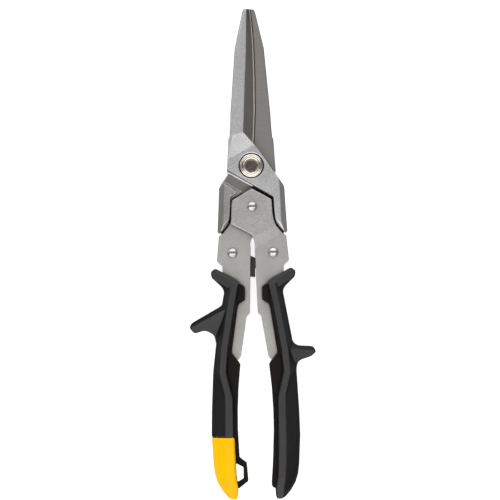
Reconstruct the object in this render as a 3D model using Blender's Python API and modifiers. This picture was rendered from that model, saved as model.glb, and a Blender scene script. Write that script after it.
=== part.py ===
"""Long-cut aviation snips: compound-leverage jaws, channel handles, rivets, latch and moulded grips.

The tool lies on its back. X runs across it, Y towards the jaw tips and Z up through the pivot bolt.
Dimensions are in millimetres from the pivot bolt's centre, on the plane where the two blades shear.
"""

import math

import bmesh
import bpy
import numpy as np
from mathutils import Matrix, Vector

MM = 0.001
ROUND_STEP = math.radians(12.0)
PIN_SIDES = 16

# Overall reach of the tool from the pivot bolt
TIP_Y = 96.2
END_Y = -203.8
REACH_LEFT = 39.5
REACH_RIGHT = 37.6
HALF_HEIGHT = 10.0

# Linkage: the main bolt is at the origin, the jaw tangs and the two handles turn on three rivets
CENTRE_PIVOT = (0.0, -24.9)
SIDE_PIVOT = (12.45, -53.15)
LATCH_PIVOT = (-6.2, -66.0)
LATCH_CATCH = (5.2, -63.5)

# Fits
FIT = 0.3
SHEAR_GAP = 0.15

# Levels through the thickness
BOSS_TOP = 7.3
BLADE_ROOT_TOP = 5.5
BLADE_TIP_TOP = 3.6
SEAT_LEVEL = 4.6
TANG_HALF = 2.4
SHEET = 2.0
LOW_WALL = 2.7
HIGH_WALL = 5.0
CORE_HALF = 6.4

# Jaw blade: x of the back, of the flat's inner border and of the cutting edge, against y
BLADE_BACK = [(12.0, -13.3), (34.0, -12.1), (72.0, -8.95), (94.4, -3.95), (TIP_Y, -3.1)]
BLADE_FLAT = [(12.0, -5.2), (20.3, -4.75), (71.2, -2.15), (TIP_Y, -1.4)]
BLADE_EDGE = [(10.0, 1.9), (23.3, 2.75), (33.0, 3.25), (53.0, 3.45), (72.0, 3.05), (84.0, 2.45), (TIP_Y, 1.25)]
BLADE_STATIONS = [TIP_Y, 94.4, 84.0, 72.0, 62.0, 53.0, 43.0, 33.0, 23.3, 10.0]
BACK_CHAMFER = 0.9
LAND_WIDTH = 0.6
LAND_TOP = 1.3
EDGE_RELIEF = 0.5

# Corners that two or more bodies of the jaw share
SHOULDER = [(17.3, -8.91), (19.3, -11.8), (20.0, -13.4)]
BOSS_LEFT = (-14.95, -3.3)
BOSS_RIGHT = (13.2, -18.9)
TANG_TOP = (9.8, -24.5)
TAIL_TIP = (19.6, -40.9)

# Jaw boss, tail and tang
BOSS_CORNERS = [
    (-13.75, 17.0),
    (-5.15, 20.5),
    (2.25, 12.9),
    (10.85, 0.4),
    *SHOULDER,
    (17.0, -24.0),
    BOSS_RIGHT,
    BOSS_LEFT,
]
LIP_CORNERS = [BOSS_LEFT, (-14.5, -4.8), (-0.3, -13.1), (1.4, -11.9), (0.0, -9.0)]
LIP_TOP = 3.4
TAIL_INNER = [BOSS_RIGHT, (13.6, -27.9), (14.1, -32.8), (14.9, -35.2), (17.0, -38.0), TAIL_TIP]
TAIL_OUTER = [(20.6, -41.3), (21.4, -40.2), (20.6, -26.8), SHOULDER[-1]]
NOSE_CORNERS = [SHOULDER[-1], (17.05, -10.6), (9.15, -16.3), BOSS_RIGHT, (16.0, -24.0)]
STEP_CORNERS = [(16.0, -24.0), (11.35, -19.8), (5.2, -16.1), *SHOULDER]
STEP_DEPTH = 2.3
STEP_OVERLAP = 0.4
FLANGE_CORNERS = [
    (17.0, -26.0),
    (12.0, -26.0),
    TANG_TOP,
    (9.4, -22.6),
    (5.2, -19.4),
    (-0.6, -18.2),
    (-0.6, -10.0),
    (12.0, -17.0),
    (17.0, -22.0),
]
EYE_RADIUS = 6.3
EYE_START = math.radians(12.0)
EYE_END = math.radians(-205.0)
TANG_SHOULDER = [(9.8, -40.0), TANG_TOP, (19.0, -24.5), TAIL_TIP, (16.4, -43.9)]
TANG_NECK = (8.6, -46.2)

# Planes that chamfer the jaw, each through three points (x, y, z)
BLADE_RAMP = [(-13.35, 4.7, BOSS_TOP), (2.25, 12.8, BOSS_TOP), (-8.1, 18.6, BLADE_ROOT_TOP - 0.2)]
BLADE_RAMP_SIDE = [(-11.3, 16.6, 5.6), (-13.3, 4.7, BOSS_TOP), (-14.2, 11.0, 4.9)]
BOSS_CHAMFER = [(-14.2, -2.1, BOSS_TOP), (*BOSS_RIGHT, BOSS_TOP), (-1.0, -11.1, BOSS_TOP - 1.0)]
LIP_CHAMFER = [(-14.0, -3.9, LIP_TOP), (-0.3, -12.0, LIP_TOP), (-7.6, -9.1, LIP_TOP - 1.0)]
TAIL_CHAMFER = [(17.15, -20.0, BOSS_TOP), (17.65, -33.0, BOSS_TOP), (20.5, -26.0, 4.5)]
TAIL_END_CHAMFER = [(14.2, -32.6, BOSS_TOP), (19.2, -37.2, BOSS_TOP), (17.0, -38.8, 5.6)]

# Pivot bolt and nut
BOLT_RADIUS = 4.0
HEAD_RADIUS = 7.2
SEAT_RADIUS = 7.75
HEAD_PROFILE = [
    (0.0, 7.7),
    (4.6, 7.7),
    (5.0, 7.45),
    (5.25, 6.95),
    (5.6, 7.3),
    (6.1, 7.55),
    (6.6, 7.5),
    (7.0, 7.25),
    (HEAD_RADIUS, 6.8),
]
SHANK_END = -9.7
SHANK_CHAMFER = 0.5
SOCKET_FLATS = 6.6
SOCKET_FLOOR = 4.9
SOCKET_MOUTH = [(0.0, 8.7), (5.2, 8.7), (3.3, 6.6), (0.0, 6.6)]
ROUND_SIDES = 48
WASHER_RADIUS = 7.3
WASHER_THICKNESS = 0.9
NUT_FLATS = 12.0

# Rivets, latch pins and spacer
RIVET_RADIUS = 2.2
RIVET_HEAD = 2.88
RIVET_EDGE = 0.2
RIVET_DOME = 1.0
DOME_STEPS = 5
CENTRE_RIVET_RADIUS = 2.0
CENTRE_HOLE = 2.65
SPACER_RADIUS = 3.9
CATCH_PIN_RADIUS = 1.2
LATCH_PIN_RADIUS = 1.5
LATCH_PIN_HALF = 3.4

# Return spring
COIL_RADIUS = 4.95
WIRE_RADIUS = 0.55
COIL_TURNS = 2.5
COIL_HALF = 1.6
COIL_SIDES = 16
LEG_END = (8.15, -45.1)

# Latch
LATCH_HALF = 1.7
LATCH_TEETH = 4
LATCH_TOOTH = 0.7
LATCH_TOOTH_PITCH = 0.7
LATCH_TOOTH_START = (1.3, -68.4)
LATCH_TOP = [(-1.8, -54.8), (1.5, -56.3)]
LATCH_STEM = [(3.5, -59.5), (1.75, -60.7), (1.75, -62.4), (1.3, -62.8)]
LATCH_HEEL = [(-2.3, -68.6), (-4.0, -69.4)]
LATCH_SHOULDER = (-5.4, -57.2)
HOOK_INNER = (13.25, math.radians(23.4), math.radians(33.0))
HOOK_OUTER = (15.0, math.radians(36.0), math.radians(24.0))
LATCH_EYE = (3.2, math.radians(-70.0), math.radians(-215.0))

# Handle walls: the right pair steps outwards over the left pair round the centre rivet
JOGGLE_SLOPE = math.radians(28.0)
JOGGLE_HIGH = (14.35, -36.5)
JOGGLE_LOW = (18.3, -41.2)
SLOT_X = 1.3
SLOT_TOP = (SLOT_X, JOGGLE_LOW[1] - (JOGGLE_LOW[0] - SLOT_X) * math.tan(JOGGLE_SLOPE))
HANDLE_EDGE = [
    JOGGLE_LOW,
    (20.6, -42.8),
    (20.735, -44.2),
    (22.1, -58.3),
    (18.8, -61.2, 1.4),
    (18.65, -65.5),
    (17.9, -69.0),
    (12.4, -75.5),
    (12.504, -76.6),
    (13.2, -84.0),
    (17.0, -104.0),
    (19.2, -120.0),
    (18.2, -150.0),
    (13.8, -150.0),
    (12.4, -121.6),
    (10.3, -119.0),
    (8.4, -116.6),
    (4.55, -92.4),
    (2.4, -90.1),
    SLOT_TOP,
]
RIGHT_TOP = [
    (1.2, -47.2),
    (0.7, -44.4, 3.0),
    (-0.9, -41.8, 3.0),
    (-12.2, -35.8),
    (-13.1, -35.3),
    (-13.0, -32.0),
    (-12.6, -25.8),
    (-12.1, -21.0, 0.6),
    (0.1, -13.9, 0.6),
    (12.0, -20.7, 0.6),
    (12.35, -27.8),
    (13.1, -33.2),
    JOGGLE_HIGH,
]
LEFT_END_RADIUS = 8.5

# Webs: the two walls of a handle are folded together along these stretches of their outer edge
WEB = 1.8
WEB_OVERLAP = 0.5
WEB_OUTSIDE = HANDLE_EDGE[2:4]
WEB_INSIDE = HANDLE_EDGE[8:13]
LEFT_END_START = math.radians(-38.0)
LEFT_END_FINISH = math.radians(190.0)
LEFT_THROAT = [(-1.5, -48.0), (-0.9, -45.4), (0.6, -43.2)]
LEFT_SHOULDER = [(-13.1, -33.2), (-14.2, -36.2)]

# Grips: distance of the outline from the tool's centre line, against y
GRIP_OUTER = [
    (-203.8, 16.2),
    (-202.4, 18.0),
    (-199.2, 20.7),
    (-194.0, 23.8),
    (-189.0, 25.4),
    (-183.0, 26.2),
    (-165.0, 27.15),
    (-150.0, 26.8),
    (-126.0, 25.6),
    (-104.0, 22.9),
    (-84.0, 19.3),
    (-77.5, 18.1),
    (-71.6, 18.4),
]
GRIP_INNER = [
    (-203.8, 12.2),
    (-201.5, 11.5),
    (-196.5, 11.4),
    (-190.5, 12.25),
    (-182.0, 12.65),
    (-166.0, 13.0),
    (-142.0, 13.0),
    (-126.0, 16.8),
    (-112.0, 15.6),
    (-96.5, 13.0),
    (-82.5, 10.6),
    (-71.6, 8.3),
]
GRIP_TOP_Y = -71.6
CAP_SEAM_Y = -165.5
FACET_START = 1.0
FACET_WIDTH = 4.1
SIDE_CHAMFER = 1.7
FLANK_HALF = 3.2
SHOULDER_HALF = 6.0
STRIP_DROP = 1.3
FACET_MIN = 0.4
FLANK_MIN = 0.3
OUTER_MARGIN = 1.2
TAPER_START_Y = -191.5
END_HALF = 6.0

HORN_CORNERS = [
    (8.4, -71.0),
    (12.2, -68.1),
    (17.4, -65.4),
    (19.2, -64.7),
    (23.4, -62.4, 1.4),
    (26.0, -64.6, 1.4),
    (25.6, -68.0, 2.5),
    (18.0, -75.2, 7.0),
    (18.0, -80.5),
    (16.5, -83.0),
    (11.0, -83.0),
    (9.6, -77.0),
]
HORN_LEVEL = 8.8
HORN_PLANES = [
    [(9.0, -71.8, HORN_LEVEL), (24.6, -63.4, HORN_LEVEL), (16.8, -66.6, HORN_LEVEL - 1.6)],
    [(25.0, -66.4, HORN_LEVEL), (18.0, -72.2, HORN_LEVEL), (22.6, -70.4, HORN_LEVEL - 2.2)],
    [(14.0, -66.0, HORN_LEVEL), (16.0, -74.0, HORN_LEVEL), (26.0, -66.0, HORN_LEVEL - 2.4)],
]
LEFT_STOP_CORNERS = [
    (17.6, -79.0),
    (18.2, -84.6, 6.5),
    (38.3, -95.7, 1.8),
    (39.8, -98.6, 1.5),
    (36.6, -102.3, 1.8),
    (30.0, -100.2, 5.0),
    (24.5, -103.2, 4.0),
    (23.4, -110.0),
    (19.5, -112.0),
    (15.6, -90.0),
]
LEFT_STOP_RIDGE = [(19.0, -88.2, 8.6), (37.4, -97.9, 4.6)]
RIGHT_STOP_CORNERS = [
    (22.0, -101.0),
    (24.2, -110.4, 5.0),
    (36.0, -111.0, 2.0),
    (38.0, -114.4, 1.4),
    (34.6, -117.2, 2.0),
    (26.3, -119.8, 4.0),
    (25.3, -127.0),
    (21.5, -126.0),
    (18.6, -104.0),
]

RIGHT_STOP_RIDGE = [(24.0, -112.6, 8.0), (36.6, -113.9, 4.4)]
STOP_LEVEL = 9.2
STOP_LEANS = [(0.0, 3.0, -4.2), (0.0, -7.0, -3.0)]

CORE_EDGE = [
    (8.6, -71.9),
    (5.5, -73.7),
    (5.2, -75.0),
    (5.3, -82.0),
    (9.3, -84.6),
    (10.0, -87.4),
    (11.6, -98.0),
    (14.0, -114.3),
    (10.3, -119.3),
    (8.8, -121.6),
    (10.2, -136.0),
    (10.9, -150.0),
    (11.0, -162.0),
    (10.3, -178.5),
]
CORE_TOP = [(16.4, -70.8), (15.2, -68.9)]
CORE_LOW_Y = -194.0
CORE_HIGH_Y = -77.5
CORE_DEPTH = 4.3
CORE_END_LEFT = [(12.85, -181.5), (12.75, -190.0), (11.9, -194.6), (12.8, -196.6), (15.0, -196.2)]
CORE_END_RIGHT = [(10.0, -184.0), (9.1, -195.2), (9.6, -196.4), (11.4, -197.4), (14.5, -196.6)]
LOOP_CORNERS = [
    (14.0, -176.5),
    (10.3, -178.5),
    (5.9, -181.9),
    (5.1, -192.9),
    (10.9, -197.4),
    (14.5, -195.8),
    (14.5, -193.9),
    (11.6, -193.6),
    (8.0, -191.6),
    (8.0, -184.4),
    (12.6, -181.8),
    (14.5, -181.0),
]
LOOP_HALF = 3.2

# Colours are linear RGB, then roughness and metallic
LOOKS = {
    "front_jaw_steel": ((0.42, 0.43, 0.44), 0.42, 1.0),
    "rear_jaw_steel": ((0.25, 0.24, 0.225), 0.45, 1.0),
    "handle_steel": ((0.36, 0.345, 0.335), 0.45, 1.0),
    "bolt_nickel": ((0.74, 0.68, 0.59), 0.2, 1.0),
    "rivet_steel": ((0.72, 0.72, 0.71), 0.16, 1.0),
    "hidden_steel": ((0.3, 0.3, 0.3), 0.4, 1.0),
    "spring_steel": ((0.2, 0.2, 0.2), 0.35, 1.0),
    "latch_black": ((0.03, 0.028, 0.026), 0.5, 0.0),
    "core_plastic": ((0.016, 0.0125, 0.0105), 0.6, 0.0),
    "overmould_rubber": ((0.028, 0.028, 0.031), 0.5, 0.0),
    "cap_yellow": ((0.98, 0.53, 0.004), 0.42, 0.0),
}

PARTS = None
CUTTERS = None


# ---------------------------------------------------------------- outlines and plain solids


def along(knots, position):
    """Value at a position on a line through (position, value) knots."""
    knots = sorted(knots)
    return float(np.interp(position, [k[0] for k in knots], [k[1] for k in knots]))


def rounded(corners):
    """Outline through (x, y) or (x, y, radius) corners, each blended with its own radius."""
    outline = []
    for index, corner in enumerate(corners):
        here = Vector(corner[:2])
        if len(corner) == 2:
            outline.append(tuple(here))
            continue
        before = (Vector(corners[index - 1][:2]) - here).normalized()
        after = (Vector(corners[(index + 1) % len(corners)][:2]) - here).normalized()
        half = before.angle(after) / 2
        centre = here + (before + after).normalized() * corner[2] / math.sin(half)
        start = here + before * corner[2] / math.tan(half) - centre
        end = here + after * corner[2] / math.tan(half) - centre
        first = math.atan2(start.y, start.x)
        sweep = (math.atan2(end.y, end.x) - first + math.pi) % (2 * math.pi) - math.pi
        outline += arc(centre, corner[2], first, first + sweep, max(2, round(abs(sweep) / ROUND_STEP)))
    return outline


def arc(centre, radius, start, end, steps):
    """Points along an arc between two angles in radians, both ends included."""
    angles = [start + (end - start) * k / steps for k in range(steps + 1)]
    return [(centre[0] + radius * math.cos(a), centre[1] + radius * math.sin(a)) for a in angles]


def circle(centre, radius, sides=24):
    """Closed circular outline."""
    return arc(centre, radius, 0.0, 2 * math.pi * (sides - 1) / sides, sides - 1)


def grown(outline, margin):
    """Outline moved outwards by a margin on every side."""
    area = sum(a[0] * b[1] - b[0] * a[1] for a, b in zip(outline, outline[1:] + outline[:1]))
    turn = 1.0 if area > 0 else -1.0
    moved = []
    for index, point in enumerate(outline):
        here = Vector(point)
        arriving = (here - Vector(outline[index - 1])).normalized()
        leaving = (Vector(outline[(index + 1) % len(outline)]) - here).normalized()
        normals = [Vector((d.y, -d.x)) * turn for d in (arriving, leaving)]
        bisector = (normals[0] + normals[1]).normalized()
        reach = margin / max(bisector.dot(normals[0]), 0.5)
        moved.append(tuple(here + bisector * reach))
    return moved


def mirrored(points, side):
    """Points on the chosen side of the tool: -1 for the left, +1 for the right."""
    return [(point[0] * side, *point[1:]) for point in points]


def tidied(mesh):
    """Merge doubled points and turn all faces outwards."""
    shape = bmesh.new()
    shape.from_mesh(mesh)
    bmesh.ops.remove_doubles(shape, verts=shape.verts, dist=0.00001)
    bmesh.ops.recalc_face_normals(shape, faces=shape.faces)
    shape.to_mesh(mesh)
    shape.free()
    return mesh


def baked(obj):
    """Mesh of an object as it is evaluated, in world coordinates; the object is removed."""
    bpy.context.view_layer.update()
    graph = bpy.context.evaluated_depsgraph_get()
    mesh = bpy.data.meshes.new_from_object(obj.evaluated_get(graph))
    mesh.transform(obj.matrix_world)
    bpy.data.objects.remove(obj)
    return tidied(mesh)


def plate(outlines, low, high):
    """Flat solid between two levels; outlines inside the first one are holes."""
    curve = bpy.data.curves.new("outline", "CURVE")
    curve.dimensions = "2D"
    curve.fill_mode = "BOTH"
    curve.extrude = (high - low) / 2 * MM
    for outline in outlines:
        spline = curve.splines.new("POLY")
        spline.points.add(len(outline) - 1)
        spline.use_cyclic_u = True
        for point, place in zip(spline.points, outline):
            point.co = (place[0] * MM, place[1] * MM, 0.0, 1.0)
    guide = bpy.data.objects.new("outline", curve)
    guide.location.z = (low + high) / 2 * MM
    CUTTERS.objects.link(guide)
    return baked(guide)


def loft(rings):
    """Closed solid through rings of equally many points."""
    shape = bmesh.new()
    loops = [[shape.verts.new(Vector(point) * MM) for point in ring] for ring in rings]
    count = len(loops[0])
    for first, second in zip(loops, loops[1:]):
        for k in range(count):
            after = (k + 1) % count
            shape.faces.new((first[k], first[after], second[after], second[k]))
    shape.faces.new(loops[0])
    shape.faces.new(loops[-1])
    mesh = bpy.data.meshes.new("loft")
    shape.to_mesh(mesh)
    shape.free()
    return tidied(mesh)


def turned(profile, place=(0.0, 0.0), steps=32):
    """Solid of revolution about Z from a closed or axis-to-axis (radius, z) profile, top to bottom."""
    shape = bmesh.new()
    points = [shape.verts.new((radius * MM, 0.0, z * MM)) for radius, z in profile]
    for first, second in zip(points, points[1:]):
        shape.edges.new((first, second))
    if profile[0][0] > 0.0:
        shape.edges.new((points[-1], points[0]))
    mesh = bpy.data.meshes.new("profile")
    shape.to_mesh(mesh)
    shape.free()
    obj = bpy.data.objects.new("turned", mesh)
    CUTTERS.objects.link(obj)
    obj.location = (place[0] * MM, place[1] * MM, 0.0)
    screw = obj.modifiers.new("Screw", "SCREW")
    screw.steps = steps
    screw.render_steps = steps
    screw.use_merge_vertices = True
    screw.merge_threshold = 0.00001
    return baked(obj)


def shaved(mesh, corners, both_faces=False):
    """Cut away what lies above the plane through three points, and below its mirror image if asked."""
    shape = bmesh.new()
    shape.from_mesh(mesh)
    first, second, third = (Vector(corner) * MM for corner in corners)
    normal = (second - first).cross(third - first).normalized()
    if normal.z < 0.0:
        normal.negate()
    planes = [(first, normal)]
    if both_faces:
        flip = Vector((1.0, 1.0, -1.0))
        planes.append((first * flip, normal * flip))
    for point, outward in planes:
        everything = shape.verts[:] + shape.edges[:] + shape.faces[:]
        bmesh.ops.bisect_plane(
            shape, geom=everything, dist=0.0000001, plane_co=point, plane_no=outward, clear_outer=True
        )
        open_edges = [edge for edge in shape.edges if edge.is_boundary]
        bmesh.ops.holes_fill(shape, edges=open_edges, sides=0)
    shape.to_mesh(mesh)
    shape.free()
    return tidied(mesh)


def combined(mesh, others, operation):
    """Boolean of a mesh with each of the others in turn, as one mesh."""
    for other in others:
        base = bpy.data.objects.new("base", mesh)
        tool = bpy.data.objects.new("tool", other)
        CUTTERS.objects.link(base)
        CUTTERS.objects.link(tool)
        boolean = base.modifiers.new("Boolean", "BOOLEAN")
        boolean.operation = operation
        boolean.object = tool
        mesh = baked(base)
        bpy.data.objects.remove(tool)
    return mesh


# ---------------------------------------------------------------- scene bookkeeping


def material(name):
    """Principled material from the table of looks."""
    made = bpy.data.materials.get(name) or bpy.data.materials.new(name)
    colour, roughness, metallic = LOOKS[name]
    made.use_nodes = True
    shader = made.node_tree.nodes["Principled BSDF"]
    shader.inputs["Base Color"].default_value = (*colour, 1.0)
    shader.inputs["Roughness"].default_value = roughness
    shader.inputs["Metallic"].default_value = metallic
    return made


def pivot(name, place, parent=None):
    """Empty on a joint's axis."""
    empty = bpy.data.objects.new(name, None)
    PARTS.objects.link(empty)
    empty.empty_display_size = 0.01
    empty.location = Vector((*place, 0.0)) * MM
    if parent:
        empty.parent = parent
        empty.location -= Vector((*parent["place"], 0.0)) * MM
    empty["place"] = place
    return empty


def piece(name, mesh, look, carrier):
    """Named piece with its material, carried by the empty it turns with."""
    mesh.name = name
    mesh.materials.clear()
    mesh.materials.append(material(look))
    mesh.shade_smooth()
    mesh.set_sharp_from_angle(angle=math.radians(30.0))
    obj = bpy.data.objects.new(name, mesh)
    PARTS.objects.link(obj)
    obj.parent = carrier
    obj.location = Vector((*carrier["place"], 0.0)) * -MM
    return obj


def cut(obj, name, mesh):
    """Live Boolean difference with a hidden cutter that moves with the piece."""
    cutter = bpy.data.objects.new(name, mesh)
    CUTTERS.objects.link(cutter)
    cutter.parent = obj
    cutter.hide_render = True
    cutter.display_type = "WIRE"
    boolean = obj.modifiers.new(name, "BOOLEAN")
    boolean.operation = "DIFFERENCE"
    boolean.object = cutter


# ---------------------------------------------------------------- jaws and pivot hardware


def blade_ring(y):
    """Section of the blade: thick back, flat front, hollow bevel and a narrow land relieved at the edge."""
    back = along(BLADE_BACK, y)
    flat = along(BLADE_FLAT, y)
    edge = along(BLADE_EDGE, y)
    top = along([(12.0, BLADE_ROOT_TOP), (TIP_Y, BLADE_TIP_TOP)], y)
    return [
        (back, y, SHEAR_GAP),
        (back, y, top - BACK_CHAMFER),
        (back + BACK_CHAMFER, y, top),
        (flat, y, top),
        (edge - EDGE_RELIEF - LAND_WIDTH, y, LAND_TOP),
        (edge - EDGE_RELIEF, y, LAND_TOP),
        (edge, y, LAND_TOP - EDGE_RELIEF),
        (edge, y, SHEAR_GAP),
    ]


def tang_outline():
    """Flat tang from the tail to the eye that turns on the side rivet."""
    return TANG_SHOULDER + arc(SIDE_PIVOT, EYE_RADIUS, EYE_START, EYE_END, 18) + [TANG_NECK]


def jaw_mesh():
    """Jaw with its blade on the left, its tail and tang on the right, seen from its own face."""
    blade = loft([blade_ring(y) for y in BLADE_STATIONS])
    boss = plate([BOSS_CORNERS], SHEAR_GAP, BOSS_TOP)
    for plane in (BLADE_RAMP, BLADE_RAMP_SIDE, BOSS_CHAMFER, TAIL_CHAMFER):
        boss = shaved(boss, plane)
    lip = shaved(plate([LIP_CORNERS], SHEAR_GAP, LIP_TOP), LIP_CHAMFER)
    tail = plate([TAIL_INNER + TAIL_OUTER], -BOSS_TOP, BOSS_TOP)
    tail = shaved(tail, TAIL_CHAMFER, both_faces=True)
    tail = shaved(tail, TAIL_END_CHAMFER, both_faces=True)
    nose = plate([NOSE_CORNERS], -BOSS_TOP, -SHEAR_GAP)
    nose = shaved(nose, TAIL_CHAMFER, both_faces=True)
    step = plate([STEP_CORNERS], -STEP_DEPTH, SHEAR_GAP + STEP_OVERLAP)
    flange = plate([FLANGE_CORNERS], SHEAR_GAP, TANG_HALF)
    tang = plate([tang_outline()], -TANG_HALF, TANG_HALF)
    return combined(boss, [blade, lip, tail, step, nose, flange, tang], "UNION")


def bolt_bore():
    """Cutter for the bolt's hole and the counterbore that seats its head or nut."""
    return turned(
        [
            (0.0, BOSS_TOP + 1.0),
            (SEAT_RADIUS, BOSS_TOP + 1.0),
            (SEAT_RADIUS, SEAT_LEVEL),
            (BOLT_RADIUS + FIT, SEAT_LEVEL),
            (BOLT_RADIUS + FIT, -1.0),
            (0.0, -1.0),
        ],
        steps=ROUND_SIDES,
    )


def add_jaw(name, look, carrier, turned_over):
    """One jaw with its bolt bore and rivet eye; the rear jaw is the front one turned over."""
    obj = piece(name, jaw_mesh(), look, carrier)
    cut(obj, name + "_bolt_bore", bolt_bore())
    cut(obj, name + "_eye", plate([circle(SIDE_PIVOT, RIVET_RADIUS + FIT)], -5.0, 5.0))
    if turned_over:
        obj.rotation_euler.y = math.pi
    return obj


def hexagon(flats):
    """Hexagonal outline of a given size across its flats."""
    return circle((0.0, 0.0), flats / math.sqrt(3.0), 6)


def add_pivot_hardware(carrier):
    """Bolt with a hexagon socket, its washer and its nut."""
    head_floor = SEAT_LEVEL + FIT
    shank = [
        (HEAD_RADIUS, head_floor),
        (BOLT_RADIUS, head_floor),
        (BOLT_RADIUS, SHANK_END + SHANK_CHAMFER),
        (BOLT_RADIUS - SHANK_CHAMFER, SHANK_END),
        (0.0, SHANK_END),
    ]
    bolt = turned(HEAD_PROFILE + shank, steps=ROUND_SIDES)
    obj = piece("pivot_bolt", bolt, "bolt_nickel", carrier)
    cut(obj, "bolt_socket", plate([hexagon(SOCKET_FLATS)], SOCKET_FLOOR, BOSS_TOP + 1.0))
    cut(obj, "bolt_socket_mouth", turned(SOCKET_MOUTH, steps=ROUND_SIDES))

    washer_top = -SEAT_LEVEL - FIT
    washer_low = washer_top - WASHER_THICKNESS
    inner = BOLT_RADIUS + FIT
    washer = turned(
        [(inner, washer_top), (WASHER_RADIUS, washer_top), (WASHER_RADIUS, washer_low), (inner, washer_low)]
    )
    piece("pivot_washer", washer, "bolt_nickel", carrier)

    nut = plate([hexagon(NUT_FLATS), circle((0.0, 0.0), inner)], -HALF_HEIGHT, washer_low - FIT)
    piece("pivot_nut", nut, "bolt_nickel", carrier)


# ---------------------------------------------------------------- handle frames, rivets, spring


def web_outlines(side):
    """Folded edges that join the front and back walls, in the open and inside the grip."""
    outlines = []
    for edge in (WEB_OUTSIDE, WEB_INSIDE):
        strip = edge + [(x - WEB, y) for x, y in reversed(edge)]
        outlines.append(rounded(mirrored(strip, side)))
    return outlines


def wall_outline(side):
    """Outline of one handle wall, with the centre rivet's end shaped for that side."""
    if side > 0:
        return rounded(HANDLE_EDGE + RIGHT_TOP)
    lower = rounded(mirrored(HANDLE_EDGE, side))
    end = arc(CENTRE_PIVOT, LEFT_END_RADIUS, LEFT_END_START, LEFT_END_FINISH, 18)
    return lower + LEFT_THROAT + end + LEFT_SHOULDER


def lifted_over_joggle(mesh):
    """Step a wall outwards across two parallel bend lines, so it passes over the other handle."""
    along_bend = Vector((math.cos(JOGGLE_SLOPE), math.sin(JOGGLE_SLOPE), 0.0))
    across = Vector((-along_bend.y, along_bend.x, 0.0))
    lines = [Vector((*place, 0.0)) * MM for place in (JOGGLE_LOW, JOGGLE_HIGH)]
    shape = bmesh.new()
    shape.from_mesh(mesh)
    for line in lines:
        everything = shape.verts[:] + shape.edges[:] + shape.faces[:]
        bmesh.ops.bisect_plane(shape, geom=everything, dist=0.0000001, plane_co=line, plane_no=across)
    start, end = (line.dot(across) for line in lines)
    for vert in shape.verts:
        share = min(max((vert.co.dot(across) - start) / (end - start), 0.0), 1.0)
        vert.co.z += share * (HIGH_WALL - LOW_WALL) * MM
    shape.to_mesh(mesh)
    shape.free()
    return mesh


def wall(side, level):
    """One wall with its rivet holes, lying above the middle plane."""
    centre_hole = CENTRE_RIVET_RADIUS + FIT if side > 0 else CENTRE_HOLE
    rivet = (SIDE_PIVOT[0] * side, SIDE_PIVOT[1])
    outlines = [wall_outline(side), circle(rivet, RIVET_RADIUS + FIT), circle(CENTRE_PIVOT, centre_hole)]
    mesh = plate(outlines, level, level + SHEET)
    return lifted_over_joggle(mesh) if side > 0 else mesh


def turned_down(mesh):
    """Mirror image of a mesh below the middle plane."""
    copy = mesh.copy()
    copy.transform(Matrix.Scale(-1.0, 4, (0.0, 0.0, 1.0)))
    return tidied(copy)


def add_frame(name, side, carrier):
    """Folded steel channel: two walls joined by webs along the outer edge."""
    front = wall(side, LOW_WALL)
    back = turned_down(front)
    reach = LOW_WALL + WEB_OVERLAP
    webs = [plate([outline], -reach, reach) for outline in web_outlines(side)]
    mesh = combined(front, [webs[0], webs[1], back], "UNION")
    obj = piece(name, mesh, "handle_steel", carrier)
    pin, radius = (LATCH_CATCH, CATCH_PIN_RADIUS) if side > 0 else (LATCH_PIVOT, LATCH_PIN_RADIUS)
    depth = LATCH_PIN_HALF + FIT
    cut(obj, name + "_pin_seat", plate([circle(pin, radius + FIT, PIN_SIDES)], -depth, depth))
    return obj


def frame_space(side):
    """Room that a frame takes inside its grip, with the fitting gap round it."""
    outline = grown(wall_outline(side), FIT)
    front = plate([outline], LOW_WALL - FIT, LOW_WALL + SHEET + FIT)
    web = grown(web_outlines(side)[1], FIT)
    middle = plate([web], -LOW_WALL, LOW_WALL)
    return combined(front, [middle, turned_down(front)], "UNION")


def rivet_mesh(place, radius, under_head):
    """Rivet with a domed head at each end."""
    top = under_head + RIVET_EDGE + RIVET_DOME
    ball = (RIVET_HEAD**2 + RIVET_DOME**2) / (2 * RIVET_DOME)
    spread = math.asin(RIVET_HEAD / ball)
    dome = []
    for k in range(DOME_STEPS + 1):
        angle = spread * k / DOME_STEPS
        dome.append((ball * math.sin(angle), top - ball * (1.0 - math.cos(angle))))
    upper = dome + [(RIVET_HEAD, under_head), (radius, under_head)]
    lower = [(r, -z) for r, z in reversed(upper)]
    return turned(upper + lower, place)


def pin_mesh(place, radius):
    """Plain cross pin between the two walls of a handle."""
    half = LATCH_PIN_HALF
    return turned([(0.0, half), (radius, half), (radius, -half), (0.0, -half)], place, PIN_SIDES)


def spring_mesh():
    """Torsion spring round the centre spacer, with a leg against each tang."""
    path = [(-LEG_END[0], LEG_END[1], -COIL_HALF)]
    steps = int(COIL_TURNS * COIL_SIDES)
    for k in range(steps + 1):
        angle = math.pi - 2 * math.pi * COIL_TURNS * k / steps
        x = CENTRE_PIVOT[0] + COIL_RADIUS * math.cos(angle)
        y = CENTRE_PIVOT[1] + COIL_RADIUS * math.sin(angle)
        path.append((x, y, COIL_HALF * (2.0 * k / steps - 1.0)))
    path.append((LEG_END[0], LEG_END[1], COIL_HALF))
    curve = bpy.data.curves.new("wire", "CURVE")
    curve.dimensions = "3D"
    curve.bevel_depth = WIRE_RADIUS * MM
    curve.bevel_resolution = 2
    curve.use_fill_caps = True
    spline = curve.splines.new("POLY")
    spline.points.add(len(path) - 1)
    for point, place in zip(spline.points, path):
        point.co = (*(value * MM for value in place), 1.0)
    wire = bpy.data.objects.new("wire", curve)
    CUTTERS.objects.link(wire)
    return baked(wire)


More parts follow.
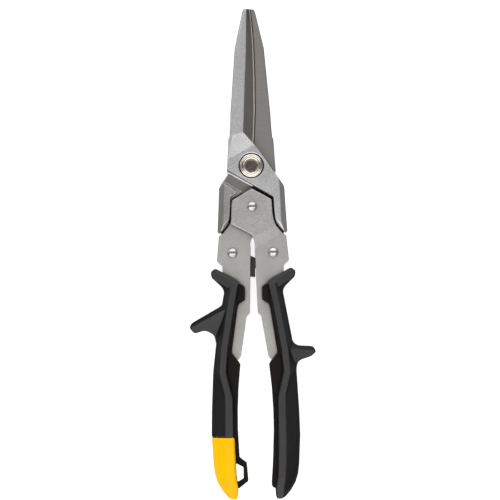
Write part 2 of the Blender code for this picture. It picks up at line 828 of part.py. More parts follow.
def add_rivets(front_jaw, rear_jaw, right_handle):
    """The three rivets of the linkage, with the spacer and spring round the middle one."""
    low_head = LOW_WALL + SHEET + FIT
    high_head = HIGH_WALL + SHEET + FIT
    left_place = (-SIDE_PIVOT[0], SIDE_PIVOT[1])
    piece("right_rivet", rivet_mesh(SIDE_PIVOT, RIVET_RADIUS, low_head), "rivet_steel", front_jaw)
    piece("left_rivet", rivet_mesh(left_place, RIVET_RADIUS, low_head), "rivet_steel", rear_jaw)
    middle = rivet_mesh(CENTRE_PIVOT, CENTRE_RIVET_RADIUS, high_head)
    piece("centre_rivet", middle, "rivet_steel", right_handle)
    inner = CENTRE_RIVET_RADIUS + FIT
    half = TANG_HALF
    ring = [(inner, half), (SPACER_RADIUS, half), (SPACER_RADIUS, -half), (inner, -half)]
    piece("centre_spacer", turned(ring, CENTRE_PIVOT), "hidden_steel", right_handle)
    piece("return_spring", spring_mesh(), "spring_steel", right_handle)


# ---------------------------------------------------------------- latch


def latch_outline():
    """Latch lever: eye on its pin, thumb edge in the gap and a hook that drops over the catch pin."""
    teeth = []
    for k in range(LATCH_TEETH):
        x = LATCH_TOOTH_START[0] - LATCH_TOOTH_PITCH * k
        y = LATCH_TOOTH_START[1]
        teeth += [(x, y), (x - LATCH_TOOTH_PITCH / 2, y + LATCH_TOOTH)]
    hook = arc(LATCH_PIVOT, *HOOK_OUTER, 3) + arc(LATCH_PIVOT, *HOOK_INNER, 3)
    eye = arc(LATCH_PIVOT, *LATCH_EYE, 12)
    return LATCH_TOP + hook + LATCH_STEM + teeth + LATCH_HEEL + eye + [LATCH_SHOULDER]


def add_latch(left_handle, right_handle, latch_pivot):
    """Latch lever, the pin it turns on and the pin it catches."""
    hole = circle(LATCH_PIVOT, LATCH_PIN_RADIUS + FIT, PIN_SIDES)
    piece("latch", plate([latch_outline(), hole], -LATCH_HALF, LATCH_HALF), "latch_black", latch_pivot)
    piece("latch_pivot_pin", pin_mesh(LATCH_PIVOT, LATCH_PIN_RADIUS), "hidden_steel", left_handle)
    piece("latch_catch_pin", pin_mesh(LATCH_CATCH, CATCH_PIN_RADIUS), "hidden_steel", right_handle)


# ---------------------------------------------------------------- grips


def grip_ring(side, y):
    """Section of the overmould: a flat strip on each face, faceted flanks falling to the outer edge."""
    inner = along(GRIP_INNER, y)
    outer = along(GRIP_OUTER, y)
    share = along([(END_Y, END_HALF / HALF_HEIGHT), (TAPER_START_Y, 1.0), (GRIP_TOP_Y, 1.0)], y)
    facet_end = min(inner + FACET_START + FACET_WIDTH, outer - OUTER_MARGIN)
    shoulder = max(outer - SIDE_CHAMFER, facet_end + FACET_MIN)
    upper = [
        (inner, HALF_HEIGHT - STRIP_DROP),
        (inner + FACET_START, HALF_HEIGHT),
        (facet_end, HALF_HEIGHT),
        (shoulder, SHOULDER_HALF),
        (max(outer, shoulder + FLANK_MIN), FLANK_HALF),
    ]
    ring = [(side * x, y, z * share) for x, z in upper]
    return ring + [(x, y, -z) for x, y, z in reversed(ring)]


def grip_levels(low, high):
    """Heights along the grip where its outline or facets change direction."""
    knots = {y for y, _ in GRIP_OUTER + GRIP_INNER} | {TAPER_START_Y, low, high}
    return sorted(y for y in knots if low <= y <= high)


def horn_mesh(side):
    """Guard at the top of the grip that keeps the hand off the jaws."""
    mesh = plate([rounded(mirrored(HORN_CORNERS, side))], -HORN_LEVEL, HORN_LEVEL)
    for plane in HORN_PLANES:
        mesh = shaved(mesh, mirrored(plane, side), both_faces=True)
    return mesh


def stop_mesh(side, corners, ridge):
    """Rest for the thumb or fingers: a wedge that falls away on both sides of a ridge."""
    mesh = plate([rounded(mirrored(corners, side))], -STOP_LEVEL, STOP_LEVEL)
    root, tip = (Vector(point) for point in mirrored(ridge, side))
    for lean in STOP_LEANS:
        mesh = shaved(mesh, [root, tip, (root + tip) / 2 + Vector(lean)], both_faces=True)
    return mesh


def core_outline(side):
    """Plan of the hard core, inset from the grip's outer edge."""
    end = CORE_END_LEFT if side < 0 else CORE_END_RIGHT
    levels = grip_levels(CORE_LOW_Y, CORE_HIGH_Y)
    outer = [(along(GRIP_OUTER, y) - CORE_DEPTH, y) for y in levels]
    return mirrored(CORE_EDGE + end + outer + CORE_TOP, side)


def core_solid(side, margin=0.0):
    """Hard core as a plain solid, grown by a margin where it is used as a cutter."""
    outline = grown(core_outline(side), margin) if margin else core_outline(side)
    return plate([outline], -CORE_HALF - margin, CORE_HALF + margin)


def add_grip(name, side, carrier, stop, ridge):
    """Hard core and soft overmould of one grip."""
    core = core_solid(side)
    if side < 0:
        loop = plate([mirrored(LOOP_CORNERS, side)], -LOOP_HALF, LOOP_HALF)
        core = combined(core, [loop], "UNION")
    core_piece = piece(name + "_grip_core", core, "core_plastic", carrier)
    cut(core_piece, name + "_core_frame_space", frame_space(side))

    low = CAP_SEAM_Y if side < 0 else END_Y
    body = loft([grip_ring(side, y) for y in grip_levels(low, GRIP_TOP_Y)])
    body = combined(body, [horn_mesh(side), stop_mesh(side, stop, ridge)], "UNION")
    overmould = piece(name + "_grip_overmould", body, "overmould_rubber", carrier)
    cut(overmould, name + "_overmould_core_space", core_solid(side, FIT))
    cut(overmould, name + "_overmould_frame_space", frame_space(side))


def add_end_cap(carrier):
    """Coloured cap over the end of the left grip."""
    cap = loft([grip_ring(-1, y) for y in grip_levels(END_Y, CAP_SEAM_Y - FIT)])
    cap_piece = piece("left_end_cap", cap, "cap_yellow", carrier)
    cut(cap_piece, "cap_core_space", core_solid(-1, FIT))
    loop_space = plate([grown(mirrored(LOOP_CORNERS, -1), FIT)], -LOOP_HALF - FIT, LOOP_HALF + FIT)
    cut(cap_piece, "cap_loop_space", loop_space)


# ---------------------------------------------------------------- assembly


def collection(name):
    """New collection linked to the scene."""
    made = bpy.data.collections.new(name)
    bpy.context.scene.collection.children.link(made)
    return made


def build():
    global PARTS, CUTTERS
    for obj in list(bpy.data.objects):
        bpy.data.objects.remove(obj)
    PARTS = collection("aviation_snips")
    CUTTERS = collection("cutters")

    tool = pivot("tool_frame", (0.0, 0.0))
    front = pivot("front_jaw_pivot", (0.0, 0.0), tool)
    rear = pivot("rear_jaw_pivot", (0.0, 0.0), tool)
    right = pivot("right_handle_pivot", SIDE_PIVOT, front)
    left = pivot("left_handle_pivot", (-SIDE_PIVOT[0], SIDE_PIVOT[1]), rear)
    latch = pivot("latch_pivot", LATCH_PIVOT, left)

    add_jaw("front_jaw", "front_jaw_steel", front, turned_over=False)
    add_jaw("rear_jaw", "rear_jaw_steel", rear, turned_over=True)
    add_pivot_hardware(front)
    add_frame("right_handle_frame", 1, right)
    add_frame("left_handle_frame", -1, left)
    add_rivets(front, rear, right)
    add_latch(left, right, latch)
    add_grip("left", -1, left, LEFT_STOP_CORNERS, LEFT_STOP_RIDGE)
    add_grip("right", 1, right, RIGHT_STOP_CORNERS, RIGHT_STOP_RIDGE)
    add_end_cap(left)

    centre_x = (REACH_RIGHT - REACH_LEFT) / 2
    centre_y = (TIP_Y + END_Y) / 2
    tool.location = Vector((-centre_x, -centre_y, HALF_HEIGHT)) * MM


build()
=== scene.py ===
"""Studio scene of a pair of aviation snips.

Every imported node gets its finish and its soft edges, and a light, a floor and a camera are added. Lengths in the
materials and the edge tables are in millimetres; all others are in metres, in the model's own frame.
"""

import math

import bpy
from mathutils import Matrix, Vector


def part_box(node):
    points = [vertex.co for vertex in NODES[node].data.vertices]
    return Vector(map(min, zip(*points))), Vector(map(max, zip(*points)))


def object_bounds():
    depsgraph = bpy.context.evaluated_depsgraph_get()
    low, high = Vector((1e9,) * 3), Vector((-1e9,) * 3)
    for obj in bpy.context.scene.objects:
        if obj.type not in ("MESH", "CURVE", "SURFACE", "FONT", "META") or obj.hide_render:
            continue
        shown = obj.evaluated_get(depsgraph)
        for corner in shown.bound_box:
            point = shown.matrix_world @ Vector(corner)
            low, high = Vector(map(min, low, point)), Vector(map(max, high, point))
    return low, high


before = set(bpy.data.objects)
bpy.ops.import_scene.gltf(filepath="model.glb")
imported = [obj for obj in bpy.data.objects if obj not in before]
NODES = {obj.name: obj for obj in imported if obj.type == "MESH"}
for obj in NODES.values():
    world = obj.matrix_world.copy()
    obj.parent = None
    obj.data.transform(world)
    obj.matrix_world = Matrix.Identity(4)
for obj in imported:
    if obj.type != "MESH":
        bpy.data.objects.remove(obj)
cad_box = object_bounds()

MM = 0.001
RIVETS = ("left_rivet", "right_rivet", "centre_rivet")


def middle(node):
    """Centre of a node's box."""
    low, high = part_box(node)
    return (low + high) / 2


BOLT = middle("pivot_bolt")
MID_LEVEL = (cad_box[0].z + cad_box[1].z) / 2 / MM
SOCKET = (MID_LEVEL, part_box("pivot_bolt")[1].z / MM - 0.9)

# Colours, in linear light.
WHITE = (1.0, 1.0, 1.0)
BLACK = (0.0, 0.0, 0.0)
# Lighter colour for metal edges: a painted highlight.
PAINTED_EDGE_HIGHLIGHT = (0.92, 0.92, 0.91)
FRONT_CASTING = (0.558, 0.552, 0.556)
# The rear jaw's steel is drawn darker than the front jaw's: painted shade for its place below the front jaw.
SHADED_REAR_CASTING = (0.38, 0.368, 0.353)
SHEAR_FACE = (0.37, 0.35, 0.335)
FRONT_BEVEL = (0.31, 0.29, 0.27)
REAR_BEVEL = (0.3, 0.28, 0.26)
LAND = (0.62, 0.61, 0.6)
# Near black for the edge relief along the blade: painted shade.
PAINTED_RELIEF_SHADE = (0.05, 0.046, 0.043)
# Near black for faces at the tang's level, seen only down deep gaps: painted shade.
PAINTED_TANG_SHADE = (0.016, 0.014, 0.012)
HANDLE_SHEET = (0.48, 0.468, 0.457)
RIVET_STEEL = (0.52, 0.52, 0.51)
NICKEL = (0.82, 0.76, 0.68)
PLAIN_STEEL = (0.45, 0.45, 0.44)
SPRING_STEEL = (0.3, 0.3, 0.3)
LATCH_BLACK = (0.022, 0.021, 0.02)
CORE_BLACK = (0.006, 0.0046, 0.0038)
RUBBER_BLACK = (0.0115, 0.0115, 0.013)
CAP_YELLOW = (0.98, 0.51, 0.0005)

# Noise: size of the cloudy mottling, and the part of a noise's range that counts.
CLOUD_SIZE = 9.0
NOISE_RANGE = (0.3, 0.7)

# Satin steel: darkest and lightest tone as shares of the colour, what speckle and cloud each add to the tone, how far
# an edge is polished and lit by a painted highlight, and the reach of the painted shade in the gaps.
STEEL_TONES = (0.81, 1.17)
SPECKLE_TONE = 0.6
CLOUD_TONE = 0.15
POLISH_AND_HIGHLIGHT_WIDTH = 0.75
EDGE_HIGHLIGHT_SHARE = 0.8
POLISH_GLOSS = 0.12
CREVICE_SHADE_REACH = 1.6

# Pressed sheet: the slopes that count as a bend, by the upright part of their normal, and the share of painted shade
# on them, and
# the painted shadow beside taller parts: its reach, the openness at which it starts and is full, and its share.
BEND_ABOVE = (0.97, 0.94)
BEND_BELOW = (0.88, 0.92)
BEND_SHADE_SHARE = 0.4
SHADOW_REACH = 14.0
SHADOW_OPENNESS = (0.97, 0.5)
SHADOW_SHARE = 0.62

# Cast jaw: where each zone fades in or out, by height above or below the plane in which the blades meet, by place
# along the blade, and by slope. The relief and tang zones carry painted shade.
SHEAR_FADE = (0.6, 0.4)
BEVEL_FADE = (1.2, 1.4)
LAND_LOW_FADE = (1.0, 1.15)
LAND_HIGH_FADE = (1.6, 1.45)
RELIEF_SHADE_FADE = (1.35, 1.25)
TANG_LEVEL = 2.4
TANG_FADE = (0.06, 0.03)
BLADE_FADE = (BOLT.y / MM + 9.0, BOLT.y / MM + 10.0)
UPRIGHT_FADE = (0.9, 0.97)
LEANING_FADE = (0.2, 0.3)
GRINDING_STRETCH = (14.0, 0.35, 1.0)
GRINDING_DARK = 0.17
GRINDING_DEPTH = 0.006

# Moulded flanks: how far the normal points sideways where the gloss and the painted shade start and are full, and the
# share of the colour left on the flanks, which are drawn darker as painted shade.
FLANK_FADE = (0.31, 0.47)
FLANK_PAINTED_SHADE = 0.38

# Metal edges: width of the bevel of each node, and what all of them share.
EDGE_WIDTHS = {
    "front_jaw": 0.4,
    "rear_jaw": 0.4,
    "left_handle_frame": 0.4,
    "right_handle_frame": 0.4,
    "pivot_bolt": 0.12,
    "pivot_nut": 0.3,
    "pivot_washer": 0.15,
}
WELD_DISTANCE = 0.01
PLANAR_ANGLE = 0.6
EDGE_ANGLE = 24.0
EDGE_SEGMENTS = 3
NORMAL_WEIGHT = 80

# Moulded edges: voxel size and smoothing passes of each node.
MOULDED_EDGES = {
    "left_rivet": (0.12, 5),
    "right_rivet": (0.12, 5),
    "centre_rivet": (0.12, 5),
    "left_grip_overmould": (0.4, 16),
    "right_grip_overmould": (0.4, 16),
    "left_end_cap": (0.4, 16),
    "left_grip_core": (0.4, 4),
    "right_grip_core": (0.4, 4),
    "latch": (0.14, 3),
}
RELAX_FACTOR = 0.5

# Studio. The floor lies just under the model.
FLOOR_SIZE = 8.0
FLOOR_GAP = 0.3
FLOOR_COLOUR = (0.5, 0.5, 0.5)
FLOOR_GLOW = 0.85
ROOM_COLOUR = (0.96, 0.98, 1.0)
ROOM_STRENGTH = 0.16
WARM_WHITE = (1.0, 0.99, 0.97)

# Camera, in millimetres: the point it looks at, its height above that, the width it takes in and its near limit. The
# turn is in degrees.
VIEW_CENTRE = Vector((-0.75, 2.3, 10.0))
VIEW_DISTANCE = 1500.0
VIEW_WIDTH = 306.7
VIEW_TURN = -1.0
NEAR_CLIP = 50.0


# ---------------------------------------------------------------- node helpers


class Finish:
    """One Principled material with short calls for the nodes that feed it."""

    def __init__(self, name, colour, roughness, metallic=0.0, specular=0.5):
        self.material = bpy.data.materials.new(name)
        self.material.use_nodes = True
        self.tree = self.material.node_tree
        self.shader = self.tree.nodes["Principled BSDF"]
        self.shader.inputs["Base Color"].default_value = (*colour, 1.0)
        self.shader.inputs["Roughness"].default_value = roughness
        self.shader.inputs["Metallic"].default_value = metallic
        self.shader.inputs["Specular IOR Level"].default_value = specular
        place = self.add("ShaderNodeTexCoord")
        self.place = self.vector("MULTIPLY", place.outputs["Object"], (1.0 / MM, 1.0 / MM, 1.0 / MM))
        self.facing = place.outputs["Normal"]
        self.normal = None

    def add(self, kind, inputs=None, **settings):
        """New node with its settings, and its inputs set or linked."""
        made = self.tree.nodes.new(kind)
        for key, value in settings.items():
            setattr(made, key, value)
        for key, value in (inputs or {}).items():
            if isinstance(value, bpy.types.NodeSocket):
                self.tree.links.new(value, made.inputs[key])
            else:
                made.inputs[key].default_value = value
        return made

    def value(self, operation, *inputs):
        """Result of a Math node."""
        return self.add("ShaderNodeMath", dict(enumerate(inputs)), operation=operation).outputs[0]

    def vector(self, operation, *inputs):
        """Result of a Vector Math node."""
        made = self.add("ShaderNodeVectorMath", dict(enumerate(inputs)), operation=operation)
        return made.outputs["Value" if operation in ("DOT_PRODUCT", "LENGTH") else "Vector"]

    def part(self, source, axis):
        """One component of a vector, by its letter."""
        return self.add("ShaderNodeSeparateXYZ", {0: source}).outputs[axis]

    def ramp(self, value, start, end, low=0.0, high=1.0):
        """Value mapped smoothly from start..end to low..high and held there."""
        inputs = {"Value": value, "From Min": start, "From Max": end, "To Min": low, "To Max": high}
        return self.add("ShaderNodeMapRange", inputs, interpolation_type="SMOOTHSTEP").outputs[0]

    def both(self, *masks):
        """Product of several masks."""
        result = masks[0]
        for mask in masks[1:]:
            result = self.value("MULTIPLY", result, mask)
        return result

    def noise(self, size, detail=2.0, stretch=(1.0, 1.0, 1.0)):
        """Noise whose features are about size millimetres, stretched along the axes."""
        scaled = self.vector("DIVIDE", self.place, tuple(size * s for s in stretch))
        inputs = {"Vector": scaled, "Scale": 1.0, "Detail": detail}
        return self.add("ShaderNodeTexNoise", inputs).outputs["Fac"]

    def edges(self, radius):
        """1 on edges, where the normal rounded over a radius leaves the face's own, and 0 on faces."""
        rounded = self.add("ShaderNodeBevel", {"Radius": radius * MM}, samples=6).outputs["Normal"]
        flat = self.add("ShaderNodeNewGeometry").outputs["True Normal"]
        return self.ramp(self.vector("DOT_PRODUCT", rounded, flat), 0.995, 0.9)

    def crevice(self, distance, start=0.6, end=0.15):
        """0 in the open and 1 deep in a gap, where less than start and end of the surroundings are open."""
        inputs = {"Distance": distance * MM}
        openness = self.add("ShaderNodeAmbientOcclusion", inputs, samples=4).outputs["AO"]
        return self.ramp(openness, start, end)

    def mix(self, share, first, second):
        """Blend of two colours or two numbers, each a constant or a result."""
        made = self.add("ShaderNodeMix", data_type="RGBA")
        for socket, value in zip((made.inputs[0], made.inputs[6], made.inputs[7]), (share, first, second)):
            if isinstance(value, bpy.types.NodeSocket):
                self.tree.links.new(value, socket)
            elif isinstance(value, tuple):
                socket.default_value = (*value, 1.0)
            elif socket.type == "RGBA":
                socket.default_value = (value, value, value, 1.0)
            else:
                socket.default_value = value
        return made.outputs[2]

    def feed(self, name, source):
        """Link a result to the shader."""
        self.tree.links.new(source, self.shader.inputs[name])

    def relief(self, height, depth):
        """Add relief of a depth in millimetres to what is there already."""
        inputs = {"Height": height, "Distance": depth * MM, "Strength": 1.0}
        if self.normal:
            inputs["Normal"] = self.normal
        self.normal = self.add("ShaderNodeBump", inputs).outputs["Normal"]
        self.feed("Normal", self.normal)


def shade(colour, factor):
    """Colour made lighter or darker."""
    return tuple(min(c * factor, 1.0) for c in colour)


# ---------------------------------------------------------------- finishes


def steel(name, colour, roughness, grain=0.45, depth=0.016):
    """Satin steel: blasted grain, faint mottling, polished edges with a painted highlight, and painted shade in the
    gaps.
    """
    made = Finish(name, colour, roughness, 1.0)
    speckle = made.noise(grain, 3.0)
    cloud = made.noise(CLOUD_SIZE, 2.0)
    tone = made.value(
        "ADD",
        made.ramp(speckle, *NOISE_RANGE, -SPECKLE_TONE, SPECKLE_TONE),
        made.ramp(cloud, *NOISE_RANGE, -CLOUD_TONE, CLOUD_TONE),
    )
    furthest = SPECKLE_TONE + CLOUD_TONE
    dark, light = (shade(colour, share) for share in STEEL_TONES)
    base = made.mix(made.ramp(tone, -furthest, furthest), dark, light)
    edge = made.edges(POLISH_AND_HIGHLIGHT_WIDTH)
    # Edges drawn lighter: a painted highlight on the polished edges.
    base = made.mix(made.value("MULTIPLY", edge, EDGE_HIGHLIGHT_SHARE), base, PAINTED_EDGE_HIGHLIGHT)
    # Painted shade: darker in gaps and recesses, where less light reaches.
    made.base = made.mix(made.crevice(CREVICE_SHADE_REACH), base, shade(colour, 0.06))
    matt = made.ramp(speckle, 0.2, 0.8, roughness - 0.05, roughness + 0.06)
    made.rough = made.value("SUBTRACT", matt, made.value("MULTIPLY", edge, POLISH_GLOSS))
    made.feed("Base Color", made.base)
    made.feed("Roughness", made.rough)
    made.relief(speckle, depth)
    return made


def sheet_steel(name, colour, roughness):
    """Pressed sheet: satin steel, with painted shade on its bends and a painted shadow beside taller parts."""
    made = steel(name, colour, roughness, 0.42, 0.014)
    level = made.value("ABSOLUTE", made.part(made.facing, "Z"))
    bend = made.both(made.ramp(level, *BEND_ABOVE), made.ramp(level, *BEND_BELOW))
    # Painted shade: bends drawn darker, as their slope turns them from the lights.
    base = made.mix(made.value("MULTIPLY", bend, BEND_SHADE_SHARE), made.base, shade(colour, 0.25))
    shadow = made.value("MULTIPLY", made.crevice(SHADOW_REACH, *SHADOW_OPENNESS), SHADOW_SHARE)
    made.feed("Base Color", made.mix(shadow, base, shade(colour, 0.2)))
    return made


def jaw_steel(name, colour, bevel_colour):
    """Cast jaw: blasted skin, ground shear face and bevel, bright land along the cutting edge, painted shade on the
    tang and on the edge relief.
    """
    made = steel(name, colour, 0.42)
    level = made.value("SUBTRACT", made.part(made.place, "Z"), MID_LEVEL)
    depth = made.value("ABSOLUTE", level)
    up = made.part(made.facing, "Z")
    upright = made.ramp(made.value("ABSOLUTE", up), *UPRIGHT_FADE)
    leaning = made.ramp(made.value("MULTIPLY", up, made.part(made.facing, "X")), *LEANING_FADE)
    on_blade = made.ramp(made.part(made.place, "Y"), *BLADE_FADE)
    shear = made.both(upright, made.ramp(depth, *SHEAR_FADE))
    bevel = made.both(leaning, on_blade, made.ramp(depth, *BEVEL_FADE))
    land = made.both(upright, on_blade, made.ramp(depth, *LAND_LOW_FADE), made.ramp(depth, *LAND_HIGH_FADE))
    # Painted shade: the relief along the cutting edge, which faces away from the lights, drawn near black.
    relief = made.both(leaning, on_blade, made.ramp(depth, *RELIEF_SHADE_FADE))
    # Painted shade: faces at the tang's level, seen only down deep gaps, drawn near black.
    from_tang = made.value("ABSOLUTE", made.value("SUBTRACT", depth, TANG_LEVEL))
    tang_shade = made.both(upright, made.ramp(from_tang, *TANG_FADE))
    lines = made.noise(0.5, 2.0, GRINDING_STRETCH)
    ground_light = made.mix(bevel, SHEAR_FACE, bevel_colour)
    ground_dark = made.mix(GRINDING_DARK, ground_light, BLACK)
    ground = made.mix(made.ramp(lines, 0.25, 0.75), ground_light, ground_dark)
    worked = made.value("MAXIMUM", shear, bevel)
    base = made.mix(worked, made.base, ground)
    base = made.mix(tang_shade, base, PAINTED_TANG_SHADE)
    base = made.mix(relief, base, PAINTED_RELIEF_SHADE)
    made.feed("Base Color", made.mix(land, base, LAND))
    made.feed("Roughness", made.mix(worked, made.rough, made.ramp(lines, 0.2, 0.8, 0.36, 0.44)))
    made.relief(made.both(lines, worked), GRINDING_DEPTH)
    return made


def plated(name, colour, roughness, centre, well=None):
    """Bright turned metal with faint rings round an axis, with painted shade in a well between two levels and in its
    gaps.
    """
    made = Finish(name, colour, roughness, 1.0)
    offset = made.vector("SUBTRACT", made.place, (centre.x / MM, centre.y / MM, 0.0))
    flat = made.vector("MULTIPLY", offset, (1.0, 1.0, 0.0))
    inputs = {"W": made.vector("LENGTH", flat), "Scale": 3.0, "Detail": 1.0}
    rings = made.add("ShaderNodeTexNoise", inputs, noise_dimensions="1D").outputs["Fac"]
    smudge = made.noise(1.6, 3.0)
    made.feed("Roughness", made.ramp(smudge, 0.3, 0.75, roughness - 0.03, roughness + 0.05))
    base = made.mix(made.ramp(smudge, 0.35, 0.8), colour, shade(colour, 0.88))
    base = made.mix(made.ramp(rings, *NOISE_RANGE), base, shade(colour, 0.8))
    # Painted shade: darker in the well between the two levels.
    if well:
        low, high = well
        level = made.part(made.place, "Z")
        inside = made.both(made.ramp(level, high, high - 1.0), made.ramp(level, low, low + 1.0))
        base = made.mix(inside, base, shade(colour, 0.4))
    # Painted shade in the gaps.
    made.feed("Base Color", made.mix(made.crevice(0.8), base, shade(colour, 0.1)))
    return made


def moulded(name, colour, roughness, grain, depth, specular=0.5, mottle=0.1, edge_highlight=1.6, flank=None):
    """Moulded plastic or rubber: spark-eroded grain, faint sheen changes, a painted highlight on the edges and
    painted shade in the gaps.

    Flank is the roughness of steep sides, if they differ from the rest; those sides are then also drawn darker as
    painted shade.
    """
    made = Finish(name, colour, roughness, specular=specular)
    speckle = made.noise(grain, 2.0)
    cloud = made.noise(CLOUD_SIZE, 3.0)
    base = made.mix(made.ramp(cloud, *NOISE_RANGE), shade(colour, 1.0 - mottle), shade(colour, 1.0 + mottle))
    base = made.mix(made.ramp(speckle, 0.3, 0.75, 0.0, 0.5), base, shade(colour, 0.8))
    rough = made.ramp(speckle, 0.25, 0.75, roughness - 0.05, roughness + 0.07)
    if flank:
        side = made.ramp(made.value("ABSOLUTE", made.part(made.facing, "X")), *FLANK_FADE)
        # Painted shade: steep sides drawn darker than the tops.
        base = made.mix(side, base, shade(colour, FLANK_PAINTED_SHADE))
        rough = made.mix(side, rough, flank)
    # Painted highlight: edges drawn lighter.
    base = made.mix(made.value("MULTIPLY", made.edges(0.5), 0.5), base, shade(colour, edge_highlight))
    # Painted shade in the gaps.
    made.feed("Base Color", made.mix(made.crevice(1.2), base, shade(colour, 0.1)))
    made.feed("Roughness", rough)
    made.relief(speckle, depth)
    made.relief(made.noise(grain * 4.0), depth * 1.2)
    return made


def dress():
    """Give every node its finish."""
    nickel = plated("nickel", NICKEL, 0.24, BOLT)
    plain = steel("hidden_steel", PLAIN_STEEL, 0.36, 0.3, 0.006)
    handle = sheet_steel("handle_steel", HANDLE_SHEET, 0.43)
    core = moulded("core_plastic", CORE_BLACK, 0.62, 0.5, 0.05, specular=0.14)
    rubber = moulded("overmould_rubber", RUBBER_BLACK, 0.5, 0.4, 0.02, specular=0.56, edge_highlight=2.5, flank=0.3)
    finishes = {
        "front_jaw": jaw_steel("front_jaw_steel", FRONT_CASTING, FRONT_BEVEL),
        "rear_jaw": jaw_steel("rear_jaw_steel", SHADED_REAR_CASTING, REAR_BEVEL),
        "left_handle_frame": handle,
        "right_handle_frame": handle,
        "pivot_bolt": plated("bolt_nickel", NICKEL, 0.24, BOLT, SOCKET),
        "pivot_washer": nickel,
        "pivot_nut": nickel,
        "centre_spacer": plain,
        "latch_pivot_pin": plain,
        "latch_catch_pin": plain,
        "return_spring": steel("spring_steel", SPRING_STEEL, 0.3, 0.2, 0.004),
        "latch": moulded("latch_black", LATCH_BLACK, 0.42, 0.3, 0.01, edge_highlight=4.0),
        "left_grip_core": core,
        "right_grip_core": core,
        "left_grip_overmould": rubber,
        "right_grip_overmould": rubber,
        "left_end_cap": moulded(
            "cap_yellow", CAP_YELLOW, 0.26, 0.35, 0.004, specular=0.16, mottle=0.02, edge_highlight=1.02
        ),
    }
    for name in RIVETS:
        finishes[name] = plated("polished_" + name, RIVET_STEEL, 0.3, middle(name))
    for name, finish in finishes.items():
        materials = NODES[name].data.materials
        materials.clear()
        materials.append(finish.material)


# ---------------------------------------------------------------- edges


def modifier(obj, name, kind, **settings):
    """Add a modifier with its settings."""
    made = obj.modifiers.new(name, kind)
    for key, value in settings.items():
        setattr(made, key, value)


def crisp_edges(name, width):
    """Metal edges: coplanar faces joined, then every edge broken by a small bevel."""
    obj = NODES[name]
    modifier(obj, "weld", "WELD", merge_threshold=WELD_DISTANCE * MM)
    modifier(obj, "planar", "DECIMATE", decimate_type="DISSOLVE", angle_limit=math.radians(PLANAR_ANGLE))
    modifier(
        obj, "edge", "BEVEL", width=width * MM, segments=EDGE_SEGMENTS, limit_method="ANGLE",
        angle_limit=math.radians(EDGE_ANGLE), use_clamp_overlap=False, miter_outer="MITER_ARC",
    )
    modifier(obj, "normals", "WEIGHTED_NORMAL", keep_sharp=True, weight=NORMAL_WEIGHT)


def moulded_edges(name, voxel, passes):
    """Soft moulded edges: an even skin over the node, relaxed until its corners round off."""
    obj = NODES[name]
    modifier(obj, "skin", "REMESH", mode="VOXEL", voxel_size=voxel * MM, use_smooth_shade=True)
    modifier(obj, "relax", "SMOOTH", factor=RELAX_FACTOR, iterations=passes)


def soften():
    """Break or round the edges of the nodes in the two tables. Hidden pins, spacer and spring stay as they are."""
    for name, width in EDGE_WIDTHS.items():
        crisp_edges(name, width)
    for name, (voxel, passes) in MOULDED_EDGES.items():
        moulded_edges(name, voxel, passes)


# ---------------------------------------------------------------- studio


def floor():
    """Plain pale floor that glows a little, so that shadows stay faint."""
    bpy.ops.mesh.primitive_plane_add(size=FLOOR_SIZE, location=(0.0, 0.0, cad_box[0].z - FLOOR_GAP * MM))
    plane = bpy.context.object
    plane.name = "studio_floor"
    made = bpy.data.materials.new("studio_floor")
    made.use_nodes = True
    shader = made.node_tree.nodes["Principled BSDF"]
    shader.inputs["Base Color"].default_value = (*FLOOR_COLOUR, 1.0)
    shader.inputs["Roughness"].default_value = 0.9
    shader.inputs["Specular IOR Level"].default_value = 0.1
    shader.inputs["Emission Color"].default_value = (*WHITE, 1.0)
    shader.inputs["Emission Strength"].default_value = FLOOR_GLOW
    plane.data.materials.append(made)
    plane.visible_glossy = False


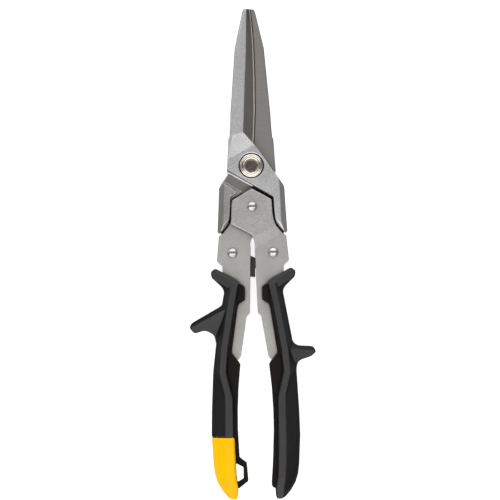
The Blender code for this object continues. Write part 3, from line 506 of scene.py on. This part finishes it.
def panel(name, place, size, power, colour=WHITE):
    """Soft rectangular light aimed at the object, of a power in watts."""
    light = bpy.data.lights.new(name, "AREA")
    light.shape = "RECTANGLE"
    light.size, light.size_y = size
    light.energy = power
    light.color = colour
    obj = bpy.data.objects.new(name, light)
    bpy.context.scene.collection.objects.link(obj)
    obj.location = place
    obj.rotation_euler = (-Vector(place)).to_track_quat("-Z", "Y").to_euler()
    obj.visible_camera = False


def room():
    """Dim room all round, seen as plain white behind the floor."""
    world = bpy.data.worlds.new("room")
    bpy.context.scene.world = world
    world.use_nodes = True
    tree = world.node_tree
    walls = tree.nodes["Background"]
    walls.inputs["Color"].default_value = (*ROOM_COLOUR, 1.0)
    walls.inputs["Strength"].default_value = ROOM_STRENGTH
    backdrop = tree.nodes.new("ShaderNodeBackground")
    backdrop.inputs["Color"].default_value = (*WHITE, 1.0)
    seen = tree.nodes.new("ShaderNodeLightPath")
    blend = tree.nodes.new("ShaderNodeMixShader")
    tree.links.new(seen.outputs["Is Camera Ray"], blend.inputs["Fac"])
    tree.links.new(walls.outputs["Background"], blend.inputs[1])
    tree.links.new(backdrop.outputs["Background"], blend.inputs[2])
    tree.links.new(blend.outputs["Shader"], tree.nodes["World Output"].inputs["Surface"])


def studio():
    """Two long panels close to the zenith, low ones to the front and the sides, and the room."""
    panel("far_panel", (0.0, 1.35, 1.15), (3.2, 1.5), 33.0)
    panel("near_panel", (0.0, -0.66, 1.5), (3.2, 0.65), 18.5, WARM_WHITE)
    panel("near_low_panel", (-0.3, -1.6, 0.85), (3.0, 1.3), 17.0)
    panel("left_panel", (-1.6, 0.6, 0.35), (0.6, 1.0), 3.5)
    panel("right_panel", (1.7, 0.1, 0.5), (0.6, 1.2), 0.4)
    room()


def camera():
    """Long lens straight above, turned one degree, as the object is pictured."""
    made = bpy.data.cameras.new("camera")
    made.lens = made.sensor_width * VIEW_DISTANCE / VIEW_WIDTH
    made.clip_start = NEAR_CLIP * MM
    obj = bpy.data.objects.new("camera", made)
    bpy.context.scene.collection.objects.link(obj)
    obj.location = (VIEW_CENTRE + Vector((0.0, 0.0, VIEW_DISTANCE))) * MM
    obj.rotation_euler = (0.0, 0.0, math.radians(VIEW_TURN))
    bpy.context.scene.camera = obj


dress()
soften()
floor()
studio()
camera()
bpy.context.scene.view_settings.view_transform = "Standard"
